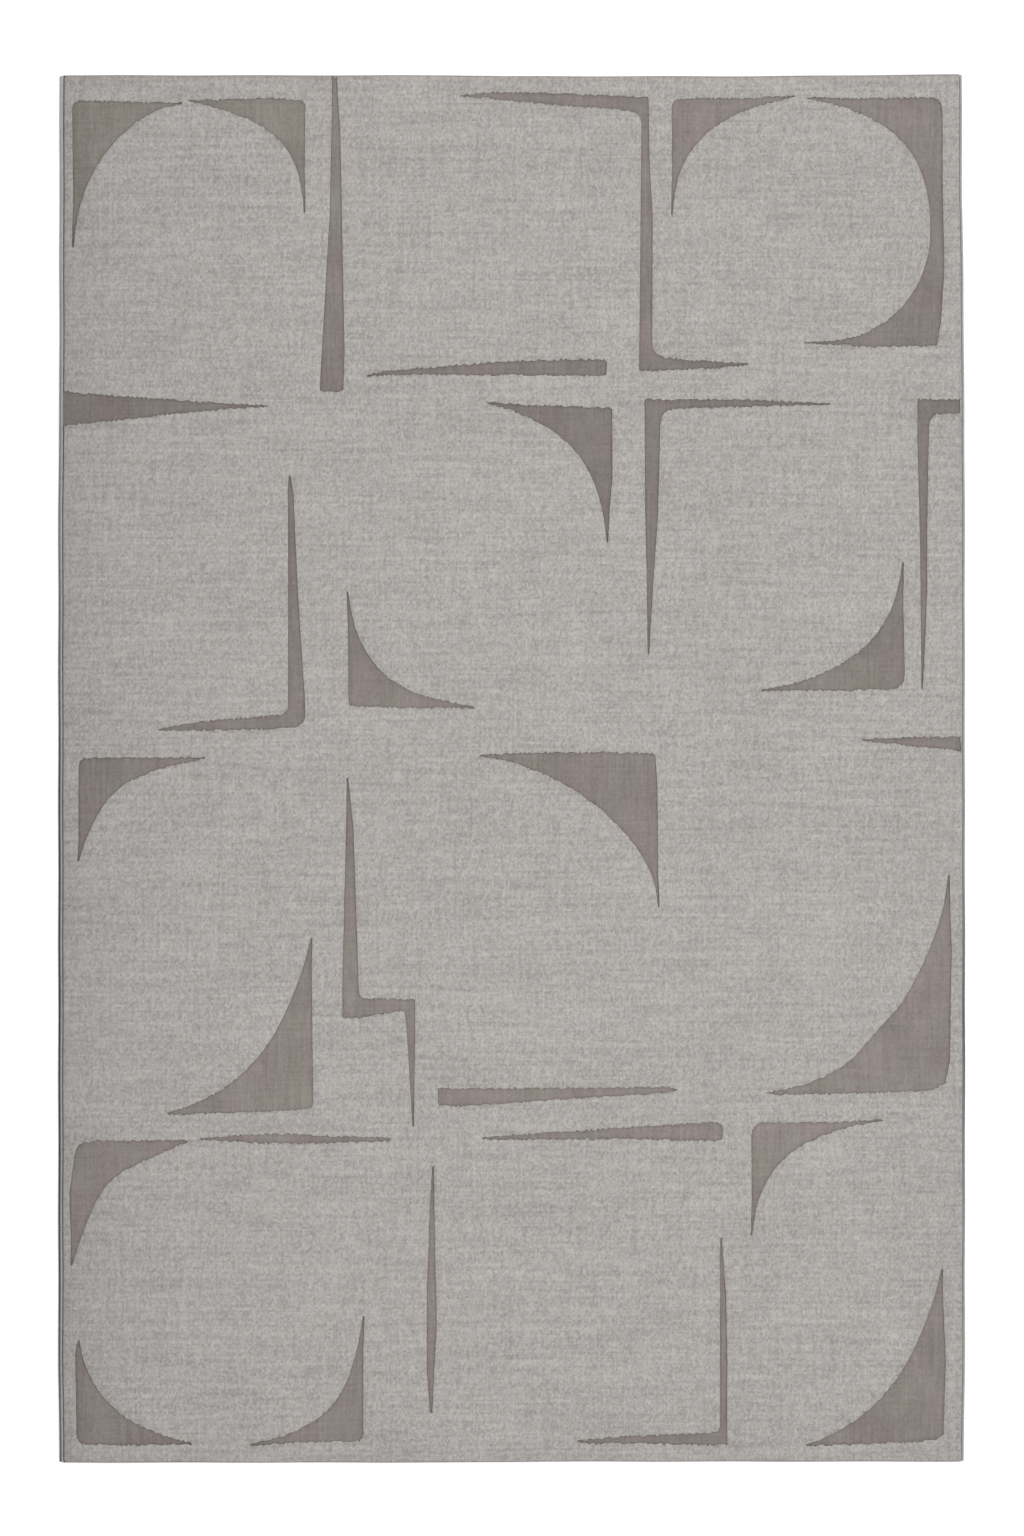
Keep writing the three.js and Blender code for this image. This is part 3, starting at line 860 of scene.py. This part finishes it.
def serging(side):
    """The roll of one side: a row of rings round a rod, with the attribute that places its painted shade.
    """
    node_name = "serging_" + side
    low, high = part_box(node_name)
    if side == "left":
        high.x += BULGE[side] * MM
    else:
        low.x -= BULGE[side] * MM
    middle, size = (low + high) / 2, high - low
    radius = Vector((size.x / 2 - YARN_RADIUS * MM, 0, size.z / 2 - YARN_RADIUS * MM))
    minor = YARN_RADIUS * MM / radius.x
    bpy.ops.object.select_all(action="DESELECT")
    bpy.ops.mesh.primitive_torus_add(
        major_segments=RING_STEPS, minor_segments=YARN_SIDES, major_radius=1, minor_radius=minor
    )
    turns = bpy.context.active_object
    bpy.ops.object.mode_set(mode="EDIT")
    bpy.ops.mesh.select_all(action="SELECT")
    bpy.ops.transform.rotate(value=np.radians(90), orient_axis="X", center_override=(0, 0, 0))
    section = (radius.x, TURN_PITCH * MM / 2 / minor, radius.z)
    bpy.ops.transform.resize(value=section, center_override=(0, 0, 0))
    bpy.ops.transform.rotate(value=np.radians(TURN_SKEW), orient_axis="Z", center_override=(0, 0, 0))
    start = low.y + TURN_PITCH * MM
    bpy.ops.transform.translate(value=(middle.x, start, middle.z))
    bpy.ops.object.mode_set(mode="OBJECT")
    row_of(turns, size.y - TURN_PITCH * MM, TURN_PITCH * MM)

    bpy.ops.mesh.primitive_cylinder_add(
        vertices=ROD_SIDES, radius=1, depth=1, rotation=(np.pi / 2, 0, 0)
    )
    rod = bpy.context.active_object
    bpy.ops.object.transform_apply(location=False, rotation=True, scale=False)
    rod.scale = (radius.x, size.y - ROD_SHORT, radius.z)
    rod.location = middle
    bpy.ops.object.transform_apply(location=True, rotation=False, scale=True)
    bpy.ops.object.mode_set(mode="EDIT")
    bpy.ops.mesh.select_all(action="DESELECT")
    bpy.ops.object.mode_set(mode="OBJECT")
    for edge in rod.data.edges:
        ends = [rod.data.vertices[i].co.y for i in edge.vertices]
        edge.select = abs(ends[0] - ends[1]) > size.y / 2
    bpy.ops.object.mode_set(mode="EDIT")
    bpy.ops.mesh.select_mode(type="EDGE")
    bpy.ops.mesh.subdivide(number_cuts=ROD_CUTS)
    bpy.ops.mesh.select_mode(type="VERT")
    bpy.ops.object.mode_set(mode="OBJECT")

    roll = joined("wound_serging_" + side, turns, rod)
    bpy.ops.object.shade_smooth()
    # Painted shade: darker towards the roll's outer foot, and stronger on the left roll than on the right.
    co = np.array([vertex.co for vertex in roll.data.vertices])
    outside, width = max(abs(low.x), abs(high.x)), FLANK_SHADE_WIDTH[side] * MM
    depth = 1 - (outside - np.abs(co[:, 0])) / width
    flank_shade = np.clip(FLANK_SHADE_EDGE * depth, 0, 1) * np.interp(co[:, 1], FLANK_SHADE_PLACES, FLANK_SHADE_AMOUNT[side])
    roll.data.attributes.new(FLANK, "FLOAT", "POINT").data.foreach_set("value", flank_shade)
    roll.data.materials.append(serging_yarn)
    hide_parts(node_name)
    return roll


rolls = [serging(side) for side in ("left", "right")]
print("serging", [len(roll.data.polygons) for roll in rolls], "faces")

# %% [markdown]
# ## The needle thread
#
# Between the roll and the pile the needle thread dips through the cloth and comes up again, so only short
# beads of it show. A bead is a small sphere drawn out along the rug and half sunk in the cloth.

# %% Sew the needle thread
STITCH = 2.9  # mm from hole to hole
BEAD = 2.3  # mm long
BEAD_SIDES, BEAD_RINGS = 6, 5
PUSHED = {"left": 2.0, "right": 0.0}  # mm that the roll has pushed the thread to the right

threads = []
for side in ("left", "right"):
    node_name = "lockstitch_" + side
    low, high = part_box(node_name)
    middle, size = (low + high) / 2, high - low
    bpy.ops.mesh.primitive_uv_sphere_add(segments=BEAD_SIDES, ring_count=BEAD_RINGS, radius=1)
    beads = bpy.context.active_object
    beads.name = "needle_thread_" + side
    beads.scale = (size.x / 2, BEAD * MM / 2, size.z)
    beads.location = (middle.x + PUSHED[side] * MM, low.y + STITCH * MM / 2, low.z)
    bpy.ops.object.transform_apply(location=True, rotation=False, scale=True)
    row_of(beads, size.y, STITCH * MM)
    bpy.ops.object.shade_smooth()
    beads.data.materials.append(needle_thread)
    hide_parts(node_name)
    threads.append(beads)
print("beads of thread", [len(beads.data.polygons) for beads in threads], "faces")

# %% [markdown]
# ## The turned ends
#
# At each end the cloth is turned under and glued. A strip lies on the floor as the tail, and its outer
# edge is extruded upwards as the fold. Solidify gives both the cloth's thickness, and a bevel rounds the
# fold.

# %% Turn the ends
HEM_CUTS = 119
TAIL = 1.2 * MM  # the turned cloth's thickness
FOLD_ANGLE = 50  # degrees, past which an edge looks folded

hems = []
for place, sign in (("bottom", -1), ("top", 1)):
    node_name = "end_hem_" + place
    low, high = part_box(node_name)
    size = high - low
    outer_y = (high.y if sign > 0 else -low.y) - TAIL / 2
    inner_y = outer_y - (size.y - TAIL / 2)
    bpy.ops.mesh.primitive_grid_add(x_subdivisions=HEM_CUTS, y_subdivisions=2, size=1)
    hem = bpy.context.active_object
    hem.name = "glued_end_" + place
    hem.scale = (size.x, outer_y - inner_y, 1)
    hem.location = (0, (outer_y + inner_y) / 2, TAIL / 2)
    bpy.ops.object.transform_apply(location=True, rotation=False, scale=True)
    bpy.ops.object.mode_set(mode="EDIT")
    bpy.ops.mesh.select_all(action="DESELECT")
    bpy.ops.object.mode_set(mode="OBJECT")
    for vertex in hem.data.vertices:
        vertex.select = vertex.co.y > outer_y - TAIL / 10
    bpy.ops.object.mode_set(mode="EDIT")
    bpy.ops.mesh.extrude_region_move(TRANSFORM_OT_translate={"value": (0, 0, size.z - TAIL / 2)})
    bpy.ops.mesh.select_all(action="SELECT")
    bpy.ops.mesh.normals_make_consistent(inside=False)
    bpy.ops.object.mode_set(mode="OBJECT")
    wall = hem.modifiers.new("wall", "SOLIDIFY")
    wall.thickness = TAIL
    wall.offset = 0
    round_fold = hem.modifiers.new("round", "BEVEL")
    round_fold.width = TAIL / 3
    round_fold.segments = 2
    round_fold.limit_method = "ANGLE"
    apply_modifiers(hem)
    if sign < 0:
        bpy.ops.object.mode_set(mode="EDIT")
        bpy.ops.mesh.select_all(action="SELECT")
        bpy.ops.transform.rotate(value=np.pi, orient_axis="Z", center_override=(0, 0, 0))
        bpy.ops.object.mode_set(mode="OBJECT")
    bpy.ops.object.shade_smooth_by_angle(angle=np.radians(FOLD_ANGLE))
    hem.data.materials.append(cloth_materials["glued_tuft_cloth_hem"])
    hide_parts(node_name)
    hems.append(hem)
print("hems", [len(hem.data.polygons) for hem in hems], "faces")

# %% [markdown]
# ## How the rug has settled
#
# No woven thing is quite square. The right side bows out by a few millimetres and draws in towards the
# far corner, and the left side and the ends wave by one or two. Every piece follows the same waves, which
# fade out 140 mm from the edge, so the pieces keep their places on each other.

# %% Settle every piece
FADE = 0.14  # metres from the edge to where the waves have died out
# places along each edge in metres, and how far it stands out there in millimetres
LEFT_BOW = ([-1.15, -1.0, 0.45, 0.6, 1.15], [0.9, 2.8, 2.8, 1.2, 0.9])
RIGHT_BOW = ([-1.15, -1.0, 0.45, 0.8, 0.95, 1.15], [-0.3, 2.0, 1.8, -0.4, -2.8, -3.3])
LOWER_BOW = ([-0.75, -0.1, 0.05, 0.75], [1.5, 1.3, -0.2, -0.2])
UPPER_BOW = ([-0.75, -0.1, 0.0, 0.4, 0.6, 0.75], [-0.1, -0.2, -1.7, -1.7, 0.2, 1.6])
WOBBLE = 0.25  # mm, of the hand-guided edge
WOBBLE_LENGTH = 0.036  # metres

settled = [tuft_cloth, latex_coat, lining, *rolls, *threads, *hems, ground, *figures]
half_width, half_length = cad_box[1].x, cad_box[1].y
for piece in settled:
    co = np.array([vertex.co for vertex in piece.data.vertices])
    x, y = co[:, 0].copy(), co[:, 1].copy()
    for axis, along, half, low_bow, high_bow in (
        (0, y, half_width, LEFT_BOW, RIGHT_BOW),
        (1, x, half_length, LOWER_BOW, UPPER_BOW),
    ):
        for sign, bow in ((-1, low_bow), (1, high_bow)):
            inward = np.clip((half - sign * (x, y)[axis]) / FADE, 0, 1)
            share = 1 - inward * inward * (3 - 2 * inward)
            wobble = WOBBLE * np.sin(along / WOBBLE_LENGTH + 3 * sign + 4 * axis)
            stand = np.interp(along, *bow) + wobble
            co[:, axis] += sign * share * stand * MM
    piece.data.vertices.foreach_set("co", co.ravel())
    piece.data.update()
print("settled", len(settled), "pieces")

# %% [markdown]
# ## One body
#
# The rug has no joint, so every piece rides on the one body. A loop over the two woven cloths reads only
# their nodes' boxes.

for piece in settled:
    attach(piece, "root")

on_tuft_cloth = [ground, *figures, *rolls, *threads, *hems]
for cloth, node_name, under, others in (
    (lining, "lining_cloth", "floor", [latex_coat]),
    (tuft_cloth, "tuft_cloth", latex_coat.name, on_tuft_cloth),
):
    low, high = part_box(node_name)

low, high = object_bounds()
print("visual box", [round(v / MM, 1) for v in high - low], "mm")
